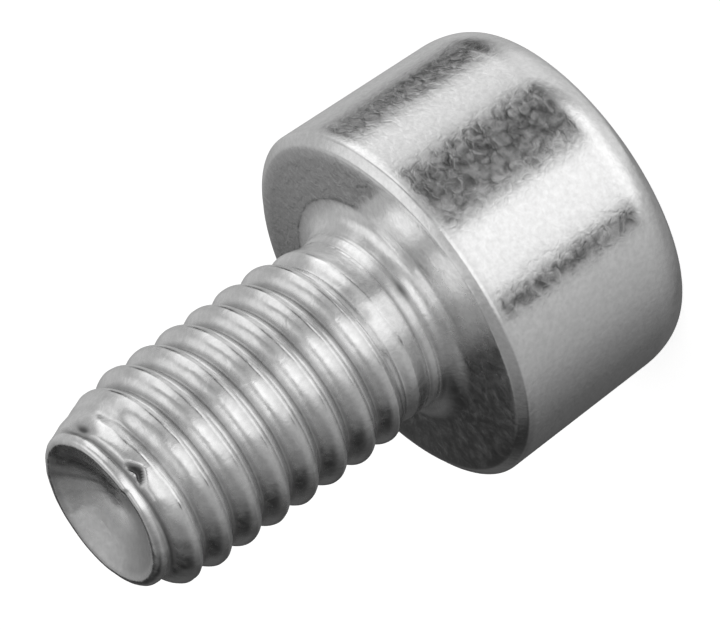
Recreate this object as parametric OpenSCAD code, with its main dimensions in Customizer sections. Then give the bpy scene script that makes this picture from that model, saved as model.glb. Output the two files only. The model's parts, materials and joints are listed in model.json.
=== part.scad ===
// Cylinder head screw with a hexagon socket: M3 thread, 5 mm long.
// It stands on its head: the head's top face lies on Z = 0 and the shank points along +Z.

/* [Head] */
// Largest diameter of the head, next to the bearing face's bevel
head_d = 5.35; // [5.2:0.05:5.6]
// Height of the head, top face to bearing face
head_h = 3.17; // [2.9:0.01:3.4]
// Angle at which the head's side leans in towards the top face
head_taper = 1.8; // [0:0.1:3]
// Radius of the rounded top edge
head_edge_r = 0.3; // [0.1:0.05:0.4]
// Width and height of the bevel round the bearing face
rim_bevel = 0.15; // [0.05:0.05:0.25]

/* [Drive socket] */
// Width across the flats of the hexagon
socket_flats = 2.5; // [2:0.1:2.6]
// Depth of the flats below the head's top face
socket_depth = 1.6; // [1.1:0.1:1.9]
// Depth of the cone at the foot of the socket
socket_point_h = 0.4; // [0.1:0.1:0.6]
// How far the mouth's chamfer reaches beyond the flats
mouth_chamfer = 0.25; // [0.2:0.05:0.3]

/* [Shank] */
// Diameter over the thread's crests
thread_d = 2.94; // [2.86:0.02:3]
// Length from the bearing face to the tip
shank_l = 5; // [4:0.5:12]
// Length over which the tip tapers
lead_l = 0.85; // [0.5:0.05:1.2]
// Diameter of the tip's end
tip_d = 2.24; // [1.9:0.02:2.4]

/* [Neck] */
// Diameter of the neck under the head, about the thread's pitch diameter
neck_d = 2.6; // [2.5:0.02:2.7]
// Length of the neck from the bearing face
neck_l = 0.5; // [0.5:0.05:1]
// Length of the slope from the neck up to the thread's crests
runout_l = 0.4; // [0.1:0.05:0.6]
// Radius of the fillet between the neck and the bearing face
neck_fillet_r = 0.45; // [0.2:0.05:0.5]

/* [Tip dish] */
// Diameter of the hollow in the tip
dish_d = 1.8; // [1:0.1:1.8]
// Depth of the hollow
dish_depth = 0.4; // [0.1:0.05:0.6]

/* [Hidden] */

head_r = head_d / 2;
head_side_h = head_h - rim_bevel - head_edge_r;
head_edge_x = head_r - (head_edge_r + head_side_h * sin(head_taper)) / cos(head_taper);
head_tangent_x = head_edge_x + head_edge_r * cos(head_taper);
head_tangent_z = head_edge_r - head_edge_r * sin(head_taper);
thread_r = thread_d / 2;
neck_r = neck_d / 2;
tip_r = tip_d / 2;
bearing_r = head_r - rim_bevel;
neck_z = head_h + neck_l;
tip_z = head_h + shank_l;
lead_z = tip_z - lead_l;

socket_inner_r = socket_flats / 2;
socket_corner_r = socket_inner_r / cos(30);
mouth_r = socket_inner_r + mouth_chamfer;

dish_r = dish_d / 2;
dish_sphere_r = (dish_r * dish_r + dish_depth * dish_depth) / (2 * dish_depth);

overlap = 0.05;
round_fn = 128;

// Half section of the head: rounded where it meets Z = 0, bevelled round the bearing face
module head_section() {
    square([head_edge_x, head_edge_r]);
    translate([head_edge_x, head_edge_r])
        circle(head_edge_r, $fn = round_fn);
    polygon([
        [0, head_tangent_z],
        [head_tangent_x, head_tangent_z],
        [head_r, head_h - rim_bevel],
        [bearing_r, head_h],
        [0, head_h],
    ]);
}

// Half section of the shank: the neck, the length that carries the thread, and the tapered lead
module shank_section() {
    polygon([
        [0, head_h - overlap],
        [neck_r, head_h - overlap],
        [neck_r, neck_z],
        [thread_r, neck_z + runout_l],
        [thread_r, lead_z],
        [tip_r, tip_z],
        [0, tip_z],
    ]);
}

// Half section of the ring of metal that fills the corner under the head
module fillet_section() {
    difference() {
        translate([neck_r - overlap, head_h - overlap])
            square([neck_fillet_r + overlap, neck_fillet_r + overlap]);
        translate([neck_r + neck_fillet_r, head_h + neck_fillet_r])
            circle(neck_fillet_r, $fn = round_fn);
    }
}

// Hexagon socket as a solid, open at Z = 0, with a chamfered mouth and a conical foot
module socket_space() {
    translate([0, 0, -overlap])
        cylinder(h = socket_depth + overlap, r = socket_corner_r, $fn = 6);
    translate([0, 0, socket_depth])
        cylinder(h = socket_point_h, r1 = socket_inner_r, r2 = 0, $fn = round_fn);
    translate([0, 0, -overlap])
        cylinder(h = mouth_chamfer + overlap, r1 = mouth_r + overlap, r2 = socket_inner_r, $fn = round_fn);
}

// Round hollow that the thread rolling leaves in the tip
module dish_space() {
    translate([0, 0, tip_z - dish_depth + dish_sphere_r])
        sphere(dish_sphere_r, $fn = round_fn);
}

// The whole screw, forged and rolled from one blank
module screw() {
    color([0.78, 0.79, 0.8])
        difference() {
            rotate_extrude($fn = round_fn) {
                head_section();
                shank_section();
                fillet_section();
            }
            socket_space();
            dish_space();
        }
}

screw();
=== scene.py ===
"""Looks for the cylinder head screw: a forged head, a rolled thread and a bright zinc finish.

The screw stands on its head, so +Z runs from the head's top face at Z = 0 to the tip of the shank.
Shape sizes are in millimetres and become metres when a vertex is made. Degrees round the screw are
counted from the front, which is the camera's side, and are positive anticlockwise seen from the
tip. A value from 0 to 1 on each vertex is painted shade in the hollows and on the shaded sides,
with a few small darker places besides; it darkens the zinc's colour and makes it rougher.
"""

import json
import math

import bmesh
import bpy
from mathutils import Matrix, Vector, noise


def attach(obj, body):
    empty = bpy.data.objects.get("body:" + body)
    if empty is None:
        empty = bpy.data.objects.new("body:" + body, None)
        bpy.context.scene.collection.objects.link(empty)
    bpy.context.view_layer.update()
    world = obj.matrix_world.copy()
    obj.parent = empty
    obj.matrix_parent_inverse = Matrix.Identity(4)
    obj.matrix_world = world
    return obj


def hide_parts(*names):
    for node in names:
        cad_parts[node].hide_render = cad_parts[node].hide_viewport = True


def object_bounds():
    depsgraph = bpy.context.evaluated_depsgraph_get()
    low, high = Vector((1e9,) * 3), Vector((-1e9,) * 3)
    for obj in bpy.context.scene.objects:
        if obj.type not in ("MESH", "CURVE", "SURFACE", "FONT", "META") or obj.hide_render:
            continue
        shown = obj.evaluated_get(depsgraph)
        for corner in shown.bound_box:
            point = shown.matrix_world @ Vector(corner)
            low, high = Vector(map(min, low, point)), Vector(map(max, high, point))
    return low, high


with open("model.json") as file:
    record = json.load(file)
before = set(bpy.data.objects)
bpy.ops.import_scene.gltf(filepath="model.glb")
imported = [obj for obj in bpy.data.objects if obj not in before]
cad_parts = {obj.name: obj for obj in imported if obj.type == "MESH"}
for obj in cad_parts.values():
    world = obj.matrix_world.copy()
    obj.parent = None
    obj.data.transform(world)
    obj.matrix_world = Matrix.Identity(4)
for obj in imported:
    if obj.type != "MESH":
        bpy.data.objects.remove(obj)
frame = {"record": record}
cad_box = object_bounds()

MM = 0.001
MOUNTS = {mount["name"]: mount for mount in frame["record"]["mounts"]}

# Main sizes, from the frame
HEAD_R = cad_box[1].x / MM
TIP_Z = cad_box[1].z / MM
BEARING_Z = MOUNTS["bearing_face"]["pos_m"][2] / MM
CREST_R = MOUNTS["shank"]["dims"]["r_mm"]

# An ARC is four angles in degrees: a feature rises over the first two and falls over the last two.
# SHARES are the places of rows along a surface, as shares of its length.

# Drive socket; MOUTH_EDGE is points (r, z) round the edge of its mouth, r beyond MOUTH_R
SOCKET_FLAT_R = 1.25
SOCKET_CORNER_CAP = 1.41
SOCKET_CORNER_BLEND = 0.03
SOCKET_DEPTH = 1.6
SOCKET_POINT = 0.4
FOOT_R = SOCKET_FLAT_R * 0.97
FOOT_SHARES = (0.25, 0.5, 0.75, 1)
WALL_SHARES = (0.02, 0.25, 0.5, 0.75, 0.98)
MOUTH_R = 1.5
MOUTH_EDGE = ((-0.02, 0.02), (0, 0.005), (0.03, 0))

# Head; the last two are points (r, z) round the bevel's edges, from the edges' sharp corners
EDGE_R = 0.3
EDGE_LENGTH = 0.62
EDGE_STEPS = 24
TOP_SHARES = (0.2, 0.5, 0.8)
TAPER = math.radians(1.8)
SIDE_ROWS = 20
SIDE_MARGIN = 0.04
BEVEL = 0.15
BEVEL_SIDE_EDGE = ((-0.004, -0.018), (-0.014, -0.002), (-0.03, 0.015))
BEVEL_FACE_EDGE = ((0.03, -0.026), (0.012, -0.011), (-0.012, -0.003))

# Bearing face, slightly crowned
FACE_DROP = 0.045
FACE_SHARES = (0.06, 0.25, 0.5, 0.75, 0.95)
# Painted shade on the front and lower front of the bearing face, beside the shank, fading up the fillet
FACE_SHADE = 0.12
FACE_SHADE_ARC = (-80, -30, -4, 14)
FACE_SHADE_LOW = BEARING_Z - FACE_DROP - 0.005
FACE_SHADE_HIGH = BEARING_Z + 0.02
FACE_SHADE_FADE = 3

# Neck: heights above the bearing face; TOOL_MARKS is (height, depth), and places and sizes of
# spots are (degrees, height)
NECK_R = 1.34
FILLET_R = 0.42
FILLET_STEPS = 56
TOOL_MARKS = ((0.40, 0.02), (0.235, 0.016))
TOOL_MARK_WIDTH = 0.035
# Painted shade in and between the turned marks, strongest on the front; the two spots are small darker
# places
NECK_SHADE_ARC = (-50, -15, 10, 32)
MARK_SHADE = 0.4
MARK_SHADE_BACK_SHARE = 0.25
BETWEEN_SHADE = 0.15
BETWEEN_HEIGHT = 0.31
BETWEEN_WIDTH = 0.15
SPOT_DARKENING = 0.35
SPOT_PLACES = ((5, 0.26), (5, 0.84))
SPOT_SIZE = (6, 0.07)

# Thread: M3, right hand, with rounded crests and roots; heights above the bearing face.
# WEAR is (depth, noise scale), and it doubles over the heights in WEAR_DOUBLES.
PITCH = 0.5
THREAD_DEPTH = 0.18
CREST_CURVE = 1.3
CREST_POWER = 2
ROOT_ROUND = 0.1
CREST_Z_AT_FRONT = BEARING_Z + 2.62
FADE_START = 0.3
FADE_END = 1.25
WEAR = ((0.006, 2.3), (0.004, 6.1))
WEAR_DOUBLES = (3.9, 4.5)
# Painted shade in the thread's roots; the crests are slightly darker too
ROOT_SHADE = 0.55
ROOT_SHADE_DEPTHS = (0.1, 0.18)
CREST_DARKENING = 0.12
CREST_DARKENING_DEPTHS = (0, 0.05)
THREAD_DARKENING_HEIGHTS = (0.7, 1.3)
MOST_DARKENING = 0.9

# Tapered lead at the tip, and where the last turn of the thread runs out
TIP_R = 1.14
LEAD = 0.95
LEAD_SKEW = 0.28
LEAD_CURVE = 1.6
LEAD_THREAD_LOSS = 0.5
RUNOUT_ARC = (15, 75, 130, 170)
RUNOUT_HEIGHTS = (4.1, 4.4)
RUNOUT_LOSS = 0.85

# Rolling fold at the tip: places are (degrees, height above the bearing face)
SEAM_HEIGHT = 4.8
SEAM_SLOPE_BELOW = 0.001
SEAM_SLOPE_ABOVE = 0.0004
SEAM_ARC = (-110, -60, 65, 95)
SEAM_WIDTH = 0.03
SEAM_DEPTH = 0.05
# Painted shade in the seam
SEAM_SHADE = 0.8
NOTCH_PLACE = (7, 4.69)
NOTCH_SIZE = (8, 0.045)
NOTCH_SLANT = 0.008
NOTCH_POWER = 4
NOTCH_DEPTH = 0.11
# Painted shade in the torn notch; the pit gets full painted shade
NOTCH_SHADE = 1.3
PIT_PLACE = (60, 4.75)
PIT_SIZE = (9, 0.055)
PIT_DEPTH = 0.07

# Lip round the tip
LIP_ROUND = 0.12
LIP_OVERLAP = 0.005
LIP_TURNS = range(15, 121, 15)
# The dish's painted shade reaches up over the lip's inner turns
LIP_SHADE_TURNS = (75, 120)
LIP_DIP = 0.04
LIP_DIP_ARC = (-120, -60, 70, 130)
LIP_STEP = 0.02
LIP_STEP_ARC = (-75, -20, 0, 5)

# Dish in the tip, under painted shade: the lighter place, where that shade is weaker, is (degrees from
# the back, share of the radius)
DISH_DEPTH = 0.4
DISH_CURVE = 2.3
DISH_DIP_POWER = 3
DISH_ROWS = 20
# Painted shade in the dish, darker towards its lower side
DISH_SHADE = 0.4
DISH_SHADE_UPPER = 0.2
DISH_SHADE_LOWER = 1.2
LIGHTER_PLACE = (10, 0.35)
LIGHTER_SIZE = (60, 0.2)
LIGHTER_LOSS = 0.9

# Mesh density; a row of the thread's mesh that ends within ROW_SNAP rows of a ring joins it
COLUMNS = 240
ROWS_PER_PITCH = 28
ROW_SNAP = 0.3

# Zinc finish: noise scales are per metre, the bump is in metres
ZINC_TINTS = (0.86, 0.95)
# Colour of the zinc where the painted shade is full
PAINTED_SHADE_TINT = 0.05
CLOUD_SCALE = 14000
CLOUD_DETAIL = 4
CLOUD_RANGE = (0.35, 0.65)
WORM_SCALE = 7500
WORM_DETAIL = 2
WORM_DISTORTION = 0.6
WORM_RANGE = (0.3, 0.7)
ROUGHNESS = (0.11, 0.25)
DULLNESS_ROUGHNESS = 0.4
BUMP_DISTANCE = 0.000003

# Camera: the bearing face's centre lands on BEARING_PIXEL of the 720 x 630 frame
FRAME_W = 720
FRAME_H = 630
SENSOR_MM = 36
VIEW_ELEVATION = math.radians(23.6)
VIEW_ROLL = math.radians(125.24)
VIEW_DISTANCE = 133.8
BEARING_PIXEL = (385.6, 310.9)
PIXELS_PER_MM = 75.44
CLIP_M = (0.001, 10)

# Floor and light tent: names that end in _M are in metres
FLOOR_PAPER = 0.8
FLOOR_GLOW = 0.72
FLOOR_HALF_M = 0.2
FLOOR_GAP = 0.01
TENT_RADIUS_M = 0.5

# Brightness of the light tent in layers from the ground to overhead: the height of the layer as
# the sine of its elevation, then (degrees, level) round the axis.
TENT = (
    (-0.92, (
        (-180, 0.25), (-90, 0.26), (-30, 0.5), (-10, 0.7), (30, 0.7), (60, 0.6), (130, 0.55),
        (180, 0.25),
    )),
    (-0.7, (
        (-180, 0.15), (-130, 0.13), (-90, 0.3), (-60, 0.44), (-46, 0.47), (-38, 0.85), (-28, 1.1),
        (36, 1.15), (46, 0.6), (52, 0.35), (60, 0.4), (70, 0.75), (110, 0.7), (120, 0.5),
        (150, 0.45), (174, 0.35), (180, 0.15),
    )),
    (-0.47, (
        (-180, 0.1), (-132, 0.12), (-106, 0.21), (-81, 0.35), (-50, 0.5), (-46, 0.34), (-42, 0.04),
        (-35, 0.04), (-31, 0.5), (-27, 0.86), (-20, 0.95), (8, 1.05), (12, 0.9), (16, 0.45),
        (20, 0.2), (26, 0.04), (57, 0.02), (62, 0.15), (67, 0.5), (72, 0.64), (89, 0.72),
        (94, 0.66), (101, 0.44), (107, 0.12), (112, 0.02), (128, 0.02), (133, 0.2), (140, 0.42),
        (150, 0.52), (172, 0.45), (180, 0.1),
    )),
    (-0.36, (
        (-180, 0.05), (-130, 0.07), (-106, 0.15), (-81, 0.34), (-50, 0.44), (-38, 0.42),
        (-32, 0.5), (-24, 0.75), (-10, 0.85), (12, 0.85), (18, 0.6), (26, 0.45), (45, 0.45),
        (58, 0.7), (72, 1), (96, 1.2), (106, 0.75), (116, 0.5), (150, 0.45), (172, 0.4),
        (180, 0.05),
    )),
    (0, (
        (-180, 0.08), (-150, 0.09), (-130, 0.06), (-110, 0.11), (-90, 0.24), (-75, 0.34),
        (-50, 0.44), (-42, 0.46), (-32, 0.65), (-20, 0.9), (0, 1), (12, 0.95), (20, 0.6),
        (30, 0.45), (44, 0.5), (54, 0.9), (65, 1.05), (92, 1), (104, 0.55), (115, 0.42),
        (135, 0.5), (150, 0.5), (172, 0.25), (180, 0.08),
    )),
    (0.45, (
        (-180, 0.03), (-174, 0.02), (-130, 0.02), (-112, 0.05), (-97, 0.13), (-70, 0.3),
        (-50, 0.4), (-42, 0.48), (-32, 0.75), (-18, 1), (0, 1.08), (12, 1), (20, 0.65), (28, 0.4),
        (42, 0.42), (52, 0.8), (62, 1), (85, 0.95), (95, 0.7), (108, 0.45), (145, 0.45),
        (165, 0.3), (175, 0.24), (180, 0.03),
    )),
    (0.66, (
        (-180, 0.1), (-174, 0.06), (-150, 0.08), (-112, 0.13), (-70, 0.26), (-50, 0.4),
        (-42, 0.48), (-32, 0.8), (-18, 1.05), (0, 1.12), (12, 1.05), (20, 0.7), (28, 0.4),
        (40, 0.3), (60, 0.38), (90, 0.42), (104, 0.75), (124, 0.75), (140, 0.45), (173, 0.54),
        (180, 0.1),
    )),
    (0.84, (
        (-180, 0.42), (-150, 0.3), (-120, 0.22), (-70, 0.26), (-50, 0.4), (-42, 0.48), (-32, 0.8),
        (-18, 1.05), (0, 1.12), (16, 1.05), (28, 0.4), (60, 0.4), (76, 0.85), (120, 0.9),
        (140, 0.45), (160, 0.4), (180, 0.42),
    )),
    (0.96, (
        (-180, 0.35), (-120, 0.24), (-60, 0.3), (-20, 0.45), (10, 0.45), (50, 0.55), (75, 0.9),
        (110, 0.8), (140, 0.4), (180, 0.35),
    )),
    (0.995, ((-180, 0.6), (0, 0.7), (180, 0.6))),
)

# Angle of the front, as the frame's X and Y have it
FRONT = math.radians(-90)


def smooth_step(low, high, value):
    """0 below low, 1 above high, and a smooth rise between them."""
    share = min(max((value - low) / (high - low), 0), 1)
    return share * share * (3 - 2 * share)


def arc_share(arc, degrees):
    """How strong a feature is at an angle: it rises and falls over the four angles of its arc."""
    rise_start, rise_end, fall_start, fall_end = arc
    return smooth_step(rise_start, rise_end, degrees) * (1 - smooth_step(fall_start, fall_end, degrees))


def soft_min(a, b, width):
    """The smaller of two numbers, rounded off where they are closer than width."""
    blend = max(width - abs(a - b), 0) / width
    return min(a, b) - blend * blend * width / 4


def soft_max(a, b, width):
    return -soft_min(-a, -b, width)


def groove(distance, width):
    """Depth share of a rounded groove at a distance from its middle."""
    return math.exp(-(distance / width) ** 2)


def off_spot(place, centre, size):
    """Distance of a place from the centre of a spot, in units of its size in each direction."""
    return math.hypot((place[0] - centre[0]) / size[0], (place[1] - centre[1]) / size[1])


def column_angle(column):
    return FRONT + 2 * math.pi * column / COLUMNS


def off_front(angle):
    """Degrees from the front, from -180 to 180."""
    return (math.degrees(angle - FRONT) + 180) % 360 - 180


def at_angle(value, angle):
    """A number as it is, or a function's value at the angle."""
    return value(angle) if callable(value) else value


class Skin:
    """One closed skin made of rings of COLUMNS vertices."""

    def __init__(self):
        self.mesh = bmesh.new()
        self.shade_and_dullness = self.mesh.verts.layers.float.new("shade_and_dullness")

    def vertex(self, radius, angle, height, shade_and_dullness=0):
        vertex = self.mesh.verts.new(
            (radius * math.cos(angle) * MM, radius * math.sin(angle) * MM, height * MM)
        )
        vertex[self.shade_and_dullness] = shade_and_dullness
        return vertex

    def ring(self, radius, height, shade_and_dullness=0):
        """A ring whose radius, height and painted shade are numbers or functions of the angle."""
        vertices = []
        for column in range(COLUMNS):
            angle = column_angle(column)
            vertices.append(self.vertex(
                at_angle(radius, angle), angle, at_angle(height, angle), at_angle(shade_and_dullness, angle)
            ))
        return vertices

    def face(self, corners):
        """A face from corners in order, leaving out repeats."""
        unique = []
        for corner in corners:
            if corner not in unique:
                unique.append(corner)
        if len(unique) > 2:
            self.mesh.faces.new(unique)

    def join(self, lower, upper):
        """Quads between two rings, facing outward where upper is higher. Returns upper."""
        for column in range(COLUMNS):
            following = (column + 1) % COLUMNS
            self.face([lower[column], lower[following], upper[following], upper[column]])
        return upper

    def fan(self, ring, centre, outward_up):
        """Triangles from a ring to a vertex at its centre."""
        for column in range(COLUMNS):
            following = (column + 1) % COLUMNS
            corners = [ring[column], ring[following], centre]
            self.face(corners if outward_up else corners[::-1])


def arc_points(centre_r, centre_z, radius, start, end, steps):
    """Points (r, z) along a round corner; angles in degrees, 0 outward and 90 up."""
    points = []
    for step in range(steps + 1):
        angle = math.radians(start + (end - start) * step / steps)
        points.append((centre_r + radius * math.cos(angle), centre_z + radius * math.sin(angle)))
    return points


def hexagon_r(angle):
    """Radius of the hexagon socket's wall, with two corners on the X axis."""
    off_flat = (angle % math.radians(60)) - math.radians(30)
    return soft_min(SOCKET_FLAT_R / math.cos(off_flat), SOCKET_CORNER_CAP, SOCKET_CORNER_BLEND)


def wall_top_z(angle):
    """Height at which the socket's wall meets the mouth's 45 degree chamfer."""
    return MOUTH_R - hexagon_r(angle)


def add_socket(skin):
    """Drive socket from its conical foot to the top of its wall; returns the last ring."""
    foot = skin.vertex(0, 0, SOCKET_DEPTH + SOCKET_POINT)
    rings = []
    for share in FOOT_SHARES:
        rings.append(skin.ring(FOOT_R * share, SOCKET_DEPTH + SOCKET_POINT * (1 - share)))
    rings.append(skin.ring(hexagon_r, SOCKET_DEPTH))
    for share in WALL_SHARES:
        rings.append(skin.ring(
            hexagon_r,
            lambda angle: SOCKET_DEPTH + (wall_top_z(angle) - SOCKET_DEPTH) * share,
        ))
    rings.append(skin.ring(hexagon_r, wall_top_z))
    skin.fan(rings[0], foot, outward_up=False)
    for inner, outer in zip(rings, rings[1:]):
        skin.join(inner, outer)
    return rings[-1]


def head_side_r(z):
    """Radius of the head's side, which leans in towards the top face."""
    return HEAD_R - (BEARING_Z - BEVEL - z) * math.tan(TAPER)


def head_profile():
    """Points (r, z) from the socket's mouth, round the head, to the top of the neck's fillet."""
    flat_r = head_side_r(EDGE_LENGTH) - EDGE_R
    points = [(MOUTH_R + r, z) for r, z in MOUTH_EDGE]
    points += [(MOUTH_R + (flat_r - MOUTH_R) * share, 0) for share in TOP_SHARES]
    for r, z in arc_points(0, 1, 1, -90, 0, EDGE_STEPS):
        points.append((flat_r + r * EDGE_R, z * EDGE_LENGTH))
    side_top = BEARING_Z - BEVEL - SIDE_MARGIN
    for row in range(SIDE_ROWS):
        z = EDGE_LENGTH + (side_top - EDGE_LENGTH) * (row + 1) / SIDE_ROWS
        points.append((head_side_r(z), z))
    face_outer = HEAD_R - BEVEL
    rim_z = BEARING_Z - FACE_DROP
    points += [(HEAD_R + r, BEARING_Z - BEVEL + z) for r, z in BEVEL_SIDE_EDGE]
    points += [(face_outer + r, rim_z + z) for r, z in BEVEL_FACE_EDGE]
    fillet_outer = NECK_R + FILLET_R
    for share in FACE_SHARES:
        points.append((face_outer + (fillet_outer - face_outer) * share, rim_z + FACE_DROP * share))
    for r, z in arc_points(fillet_outer, BEARING_Z + FILLET_R, FILLET_R, -90, -180, FILLET_STEPS):
        points.append((r - tool_mark(z), z))
    return points


def tool_mark(z):
    """Depth of the fine turned marks under the head."""
    return sum(depth * groove(z - BEARING_Z - height, TOOL_MARK_WIDTH) for height, depth in TOOL_MARKS)


def neck_shade(angle, z):
    """Painted shade in and between the turned marks, strongest on the front, and two small darker spots
    beside them.
    """
    degrees = off_front(angle)
    height = z - BEARING_Z
    reach = arc_share(NECK_SHADE_ARC, degrees)
    marks = sum(groove(height - mark, TOOL_MARK_WIDTH) for mark, _ in TOOL_MARKS)
    marks *= MARK_SHADE * (MARK_SHADE_BACK_SHARE + (1 - MARK_SHADE_BACK_SHARE) * reach)
    between = BETWEEN_SHADE * reach * groove(height - BETWEEN_HEIGHT, BETWEEN_WIDTH)
    spots = sum(groove(off_spot((degrees, height), centre, SPOT_SIZE), 1) for centre in SPOT_PLACES)
    return min(marks + between + SPOT_DARKENING * spots, 1)


def face_shade(angle):
    """Painted shade on the front and lower front of the bearing face, beside the shank."""
    return FACE_SHADE * arc_share(FACE_SHADE_ARC, off_front(angle))


def fillet_shade(angle, z):
    """The bearing face's painted shade fades out up the fillet, where the neck's painted shade begins.
    """
    fading = face_shade(angle) * (1 - FACE_SHADE_FADE * (z - BEARING_Z))
    return max(neck_shade(angle, z), fading)


def thread_r(angle, z):
    """Radius of the threaded shank at an angle and height, before wear and the lead's taper."""
    helix_z = CREST_Z_AT_FRONT + PITCH * (angle - FRONT) / (2 * math.pi)
    phase = ((z - helix_z) / PITCH + 0.5) % 1 - 0.5
    crest = CREST_R - THREAD_DEPTH * CREST_CURVE * (2 * abs(phase)) ** CREST_POWER
    full = soft_max(crest, CREST_R - THREAD_DEPTH, ROOT_ROUND)
    return NECK_R + (full - NECK_R) * smooth_step(FADE_START, FADE_END, z - BEARING_Z)


def lead_r(angle, z):
    """Radius of the tapered tip's envelope, which starts to taper earlier on one side."""
    length = LEAD + LEAD_SKEW * math.sin(angle - FRONT)
    share = min(max((TIP_Z - z) / length, 0), 1)
    return TIP_R + (CREST_R - TIP_R) * (1 - (1 - share) ** LEAD_CURVE)


def lead_thread_share(angle, z):
    """How much of the thread's depth is left where it runs out over the lead."""
    along = (CREST_R - lead_r(angle, z)) / (CREST_R - TIP_R)
    filled = arc_share(RUNOUT_ARC, off_front(angle)) * smooth_step(*RUNOUT_HEIGHTS, z - BEARING_Z)
    return (1 - along * LEAD_THREAD_LOSS) * (1 - RUNOUT_LOSS * filled)


def fold_shares(angle, z):
    """Depth shares of the seam, the torn notch and the pit where the rolled thread starts."""
    degrees = off_front(angle)
    height = z - BEARING_Z
    seam_height = SEAM_HEIGHT + SEAM_SLOPE_BELOW * min(degrees, 0) + SEAM_SLOPE_ABOVE * max(degrees, 0)
    seam = arc_share(SEAM_ARC, degrees) * groove(height - seam_height, SEAM_WIDTH)
    slanted = height - NOTCH_SLANT * abs(degrees - NOTCH_PLACE[0])
    notch = math.exp(-off_spot((degrees, slanted), NOTCH_PLACE, NOTCH_SIZE) ** NOTCH_POWER)
    pit = groove(off_spot((degrees, height), PIT_PLACE, PIT_SIZE), 1)
    return seam, notch, pit


def shank_r(angle, z):
    """Radius of the finished shank, with the lead, slight wear, the turned marks and the fold."""
    envelope = lead_r(angle, z) - (CREST_R - thread_r(angle, z)) * lead_thread_share(angle, z)
    place = Vector((math.cos(angle), math.sin(angle), z))
    wear = sum(depth * (1 - noise.noise(place * scale)) for depth, scale in WEAR)
    wear *= 1 + smooth_step(*WEAR_DOUBLES, z - BEARING_Z)
    seam, notch, pit = fold_shares(angle, z)
    fold = SEAM_DEPTH * seam + NOTCH_DEPTH * notch + PIT_DEPTH * pit
    return envelope - wear - tool_mark(z) - fold


def shank_shade(angle, z):
    """Painted shade in the thread's roots, the turned marks and the fold at the tip; the crests are
    slightly darker too.
    """
    from_crest = CREST_R - thread_r(angle, z)
    root = ROOT_SHADE * smooth_step(*ROOT_SHADE_DEPTHS, from_crest)
    crest = CREST_DARKENING * (1 - smooth_step(*CREST_DARKENING_DEPTHS, from_crest))
    threaded = max(root, crest) * smooth_step(*THREAD_DARKENING_HEIGHTS, z - BEARING_Z)
    threaded *= lead_thread_share(angle, z)
    seam, notch, pit = fold_shares(angle, z)
    # Painted shade in the seam, the torn notch and the pit
    fold = max(seam * SEAM_SHADE, notch * NOTCH_SHADE, pit)
    return min(max(threaded, neck_shade(angle, z), fold), MOST_DARKENING)


def lip_dip(angle):
    """How far the lip stands back: it is lower at the front, with a step at the torn notch."""
    degrees = off_front(angle)
    return LIP_DIP * arc_share(LIP_DIP_ARC, degrees) + LIP_STEP * arc_share(LIP_STEP_ARC, degrees)


def thread_end_z(angle):
    """Height at which the thread's rows end and the lip begins."""
    return TIP_Z - LIP_ROUND + LIP_OVERLAP - lip_dip(angle)


def thread_end_r(angle):
    return shank_r(angle, thread_end_z(angle))


def add_thread(skin, low_ring, low_z):
    """Rows that follow the thread's helix from low_z to the lip; returns the ring at the lip."""
    row_height = PITCH / ROWS_PER_PITCH
    high_ring = skin.ring(
        thread_end_r, thread_end_z, lambda angle: shank_shade(angle, thread_end_z(angle))
    )
    first_row = math.floor((low_z - CREST_Z_AT_FRONT - PITCH) / row_height)
    last_row = math.ceil((TIP_Z - CREST_Z_AT_FRONT) / row_height) + 1
    snap = row_height * ROW_SNAP
    high_ends = [thread_end_z(column_angle(column)) for column in range(COLUMNS)]
    rows = {}

    def row_vertex(row, column):
        """The vertex of a row, or the ring's vertex where the row passes the ring."""
        if column == COLUMNS:
            row, column = row + ROWS_PER_PITCH, 0
        z = CREST_Z_AT_FRONT + row * row_height + PITCH * column / COLUMNS
        if z <= low_z + snap:
            return low_ring[column]
        if z >= high_ends[column] - snap:
            return high_ring[column]
        key = (row, column)
        if key not in rows:
            angle = column_angle(column)
            rows[key] = skin.vertex(shank_r(angle, z), angle, z, shank_shade(angle, z))
        return rows[key]

    for row in range(first_row, last_row):
        for column in range(COLUMNS):
            skin.face([
                row_vertex(row, column),
                row_vertex(row, column + 1),
                row_vertex(row + 1, column + 1),
                row_vertex(row + 1, column),
            ])
    return high_ring


def dish_shade(angle, share):
    """Painted shade in the dish, darkest on its lower side and weaker on the far side of its floor."""
    from_back = off_front(angle + math.pi)
    lighter = groove(off_spot((from_back, share), LIGHTER_PLACE, LIGHTER_SIZE), 1)
    lower = 0.5 - 0.5 * math.sin(angle - FRONT)
    return DISH_SHADE * (DISH_SHADE_UPPER + DISH_SHADE_LOWER * lower) * (1 - LIGHTER_LOSS * lighter)


def add_tip(skin, thread_ring):
    """The rounded lip and the dish inside it."""
    ring = thread_ring
    for turn in LIP_TURNS:
        inward = LIP_ROUND * (1 - math.cos(math.radians(turn)))
        down = LIP_ROUND * (1 - math.sin(math.radians(turn)))
        ring = skin.join(ring, skin.ring(
            lambda angle: thread_end_r(angle) - inward,
            lambda angle: TIP_Z - down - lip_dip(angle),
            DISH_SHADE * smooth_step(*LIP_SHADE_TURNS, turn),
        ))
    for row in range(1, DISH_ROWS):
        share = 1 - row / DISH_ROWS
        sunk = down + DISH_DEPTH * (1 - share ** DISH_CURVE)
        ring = skin.join(ring, skin.ring(
            lambda angle: (thread_end_r(angle) - inward) * share,
            lambda angle: TIP_Z - sunk - lip_dip(angle) * share ** DISH_DIP_POWER,
            lambda angle: dish_shade(angle, share),
        ))
    centre = skin.vertex(0, 0, TIP_Z - down - DISH_DEPTH, dish_shade(0, 0))
    skin.fan(ring, centre, outward_up=True)


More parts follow.
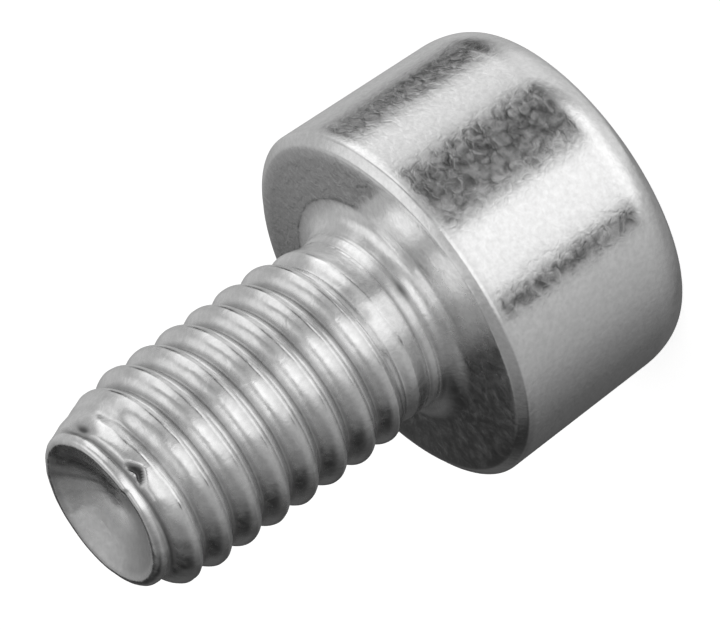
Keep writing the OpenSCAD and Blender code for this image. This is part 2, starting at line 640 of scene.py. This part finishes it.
def profile_shade(z):
    """Painted shade of the head profile's ring at a height: a number or a function of the angle."""
    if z < FACE_SHADE_LOW:
        return 0
    if z < FACE_SHADE_HIGH:
        return face_shade
    return lambda angle: fillet_shade(angle, z)


def make_screw():
    skin = Skin()
    ring = add_socket(skin)
    for r, z in head_profile():
        ring = skin.join(ring, skin.ring(r, z, profile_shade(z)))
    ring = add_thread(skin, ring, BEARING_Z + FILLET_R)
    add_tip(skin, ring)
    data = bpy.data.meshes.new("screw_skin")
    skin.mesh.normal_update()
    skin.mesh.to_mesh(data)
    skin.mesh.free()
    data.polygons.foreach_set("use_smooth", [True] * len(data.polygons))
    piece = bpy.data.objects.new("screw_skin", data)
    bpy.context.scene.collection.objects.link(piece)
    return piece


def grey(level):
    return (level, level, level, 1)


def math_node(tree, operation, first, second=None, third=None):
    """A math node; its inputs are output sockets or numbers. Returns its output socket."""
    node = tree.nodes.new("ShaderNodeMath")
    node.operation = operation
    for socket, value in zip(node.inputs, (first, second, third)):
        if isinstance(value, (int, float)):
            socket.default_value = value
        elif value is not None:
            tree.links.new(value, socket)
    return node.outputs[0]


def mapped(tree, value, source, target=(0, 1), smooth=False):
    """A clamped map from the source range to the target range. Returns its output socket."""
    node = tree.nodes.new("ShaderNodeMapRange")
    node.interpolation_type = "SMOOTHSTEP" if smooth else "LINEAR"
    node.inputs["From Min"].default_value = source[0]
    node.inputs["From Max"].default_value = source[1]
    node.inputs["To Min"].default_value = target[0]
    node.inputs["To Max"].default_value = target[1]
    tree.links.new(value, node.inputs["Value"])
    return node.outputs["Result"]


def noise_node(tree, scale, detail, distortion=0):
    """Noise in the object's own space. Returns its output socket."""
    place = tree.nodes.new("ShaderNodeTexCoord")
    node = tree.nodes.new("ShaderNodeTexNoise")
    node.inputs["Scale"].default_value = scale
    node.inputs["Detail"].default_value = detail
    node.inputs["Distortion"].default_value = distortion
    tree.links.new(place.outputs["Object"], node.inputs["Vector"])
    return node.outputs["Fac"]


def make_finish():
    """Bright zinc: finely mottled, darkened by painted shade and made rougher where the vertex
    attribute says so.
    """
    material = bpy.data.materials.new("bright_zinc")
    material.use_nodes = True
    tree = material.node_tree
    shader = tree.nodes["Principled BSDF"]
    shader.inputs["Metallic"].default_value = 1
    shade_and_dullness = tree.nodes.new("ShaderNodeAttribute")
    shade_and_dullness.attribute_name = "shade_and_dullness"
    worms = noise_node(tree, WORM_SCALE, WORM_DETAIL, WORM_DISTORTION)
    clouds = noise_node(tree, CLOUD_SCALE, CLOUD_DETAIL)
    zinc = tree.nodes.new("ShaderNodeMix")
    zinc.data_type = "RGBA"
    zinc.inputs["A"].default_value = grey(ZINC_TINTS[0])
    zinc.inputs["B"].default_value = grey(ZINC_TINTS[1])
    tree.links.new(mapped(tree, clouds, CLOUD_RANGE), zinc.inputs["Factor"])
    color = tree.nodes.new("ShaderNodeMix")
    color.data_type = "RGBA"
    # The vertex attribute's painted shade mixes the zinc towards the dark tint
    color.inputs["B"].default_value = grey(PAINTED_SHADE_TINT)
    tree.links.new(shade_and_dullness.outputs["Fac"], color.inputs["Factor"])
    tree.links.new(zinc.outputs["Result"], color.inputs["A"])
    tree.links.new(color.outputs["Result"], shader.inputs["Base Color"])
    rough = mapped(tree, worms, WORM_RANGE, ROUGHNESS)
    dull = math_node(tree, "MULTIPLY_ADD", shade_and_dullness.outputs["Fac"], DULLNESS_ROUGHNESS, rough)
    tree.links.new(dull, shader.inputs["Roughness"])
    bump = tree.nodes.new("ShaderNodeBump")
    bump.inputs["Distance"].default_value = BUMP_DISTANCE
    bump.inputs["Strength"].default_value = 1
    tree.links.new(worms, bump.inputs["Height"])
    tree.links.new(bump.outputs["Normal"], shader.inputs["Normal"])
    return material


def make_stage(name, mesh, material):
    """A floor or backdrop object from a bmesh."""
    data = bpy.data.meshes.new(name)
    mesh.to_mesh(data)
    mesh.free()
    data.materials.append(material)
    thing = bpy.data.objects.new(name, data)
    bpy.context.scene.collection.objects.link(thing)
    return thing


def make_floor():
    """White paper: it glows for the camera alone, and darkens where the screw shades it."""
    material = bpy.data.materials.new("floor_white")
    material.use_nodes = True
    tree = material.node_tree
    tree.nodes.clear()
    paper = tree.nodes.new("ShaderNodeBsdfDiffuse")
    paper.inputs["Color"].default_value = grey(FLOOR_PAPER)
    glow = tree.nodes.new("ShaderNodeEmission")
    path = tree.nodes.new("ShaderNodeLightPath")
    strength = math_node(tree, "MULTIPLY", path.outputs["Is Camera Ray"], FLOOR_GLOW)
    tree.links.new(strength, glow.inputs["Strength"])
    add = tree.nodes.new("ShaderNodeAddShader")
    output = tree.nodes.new("ShaderNodeOutputMaterial")
    tree.links.new(paper.outputs[0], add.inputs[0])
    tree.links.new(glow.outputs[0], add.inputs[1])
    tree.links.new(add.outputs[0], output.inputs["Surface"])
    mesh = bmesh.new()
    bmesh.ops.create_grid(mesh, x_segments=8, y_segments=8, size=FLOOR_HALF_M)
    floor = make_stage("floor", mesh, material)
    floor.location.z = -FLOOR_GAP * MM
    floor.visible_glossy = False
    floor.visible_shadow = False


def tent_band(tree, turn, stops):
    """Brightness round the tent from a list of (degrees, level)."""
    ramp = tree.nodes.new("ShaderNodeValToRGB")
    elements = ramp.color_ramp.elements
    elements.remove(elements[1])
    for index, (degrees, level) in enumerate(stops):
        place = (degrees + 180) / 360
        stop = elements[0] if index == 0 else elements.new(place)
        stop.position = place
        stop.color = grey(level)
    tree.links.new(turn, ramp.inputs["Fac"])
    return ramp.outputs["Color"]


def blend_levels(tree, share, first, second):
    """Mix two brightness sockets."""
    gap = math_node(tree, "SUBTRACT", second, first)
    return math_node(tree, "MULTIPLY_ADD", gap, share, first)


def make_tent():
    """A glowing tent round the screw, which lights it and is what its metal reflects."""
    material = bpy.data.materials.new("light_tent")
    material.use_nodes = True
    tree = material.node_tree
    tree.nodes.clear()
    place = tree.nodes.new("ShaderNodeTexCoord")
    unit = tree.nodes.new("ShaderNodeVectorMath")
    unit.operation = "NORMALIZE"
    split = tree.nodes.new("ShaderNodeSeparateXYZ")
    tree.links.new(place.outputs["Object"], unit.inputs[0])
    tree.links.new(unit.outputs[0], split.inputs[0])
    x, y, z = split.outputs
    angle = math_node(tree, "ARCTAN2", x, math_node(tree, "MULTIPLY", y, -1))
    turn = mapped(tree, angle, (-math.pi, math.pi))
    level = tent_band(tree, turn, TENT[0][1])
    for (height, _), (next_height, stops) in zip(TENT, TENT[1:]):
        layer = tent_band(tree, turn, stops)
        share = mapped(tree, z, (height, next_height), smooth=True)
        level = blend_levels(tree, share, level, layer)
    glow = tree.nodes.new("ShaderNodeEmission")
    tree.links.new(level, glow.inputs["Strength"])
    output = tree.nodes.new("ShaderNodeOutputMaterial")
    tree.links.new(glow.outputs[0], output.inputs["Surface"])
    mesh = bmesh.new()
    bmesh.ops.create_icosphere(mesh, subdivisions=4, radius=TENT_RADIUS_M)
    tent = make_stage("light_tent", mesh, material)
    tent.visible_camera = False


def make_world():
    world = bpy.data.worlds.new("white")
    bpy.context.scene.world = world
    world.use_nodes = True
    world.node_tree.nodes["Background"].inputs["Color"].default_value = grey(1)


def make_camera():
    """The photo's view, rolled and shifted so that the bearing face lands on BEARING_PIXEL."""
    data = bpy.data.cameras.new("camera")
    camera = bpy.data.objects.new("camera", data)
    bpy.context.scene.collection.objects.link(camera)
    bpy.context.scene.camera = camera
    data.sensor_width = SENSOR_MM
    data.lens = PIXELS_PER_MM * VIEW_DISTANCE * SENSOR_MM / FRAME_W
    data.clip_start, data.clip_end = CLIP_M
    tilt = Matrix.Rotation(math.radians(90) - VIEW_ELEVATION, 4, "X")
    turn = tilt @ Matrix.Rotation(-VIEW_ROLL, 4, "Z")
    across = (BEARING_PIXEL[0] - FRAME_W / 2) / PIXELS_PER_MM
    down = (BEARING_PIXEL[1] - FRAME_H / 2) / PIXELS_PER_MM
    target = Vector((across, -down, -VIEW_DISTANCE)) * MM
    centre = Vector((0, 0, BEARING_Z * MM))
    camera.matrix_world = Matrix.Translation(centre - turn.to_3x3() @ target) @ turn


make_camera()
screw = make_screw()
screw.data.materials.append(make_finish())
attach(screw, "root")
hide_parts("screw")
make_floor()
make_tent()
make_world()
bpy.context.scene.view_settings.view_transform = "Standard"
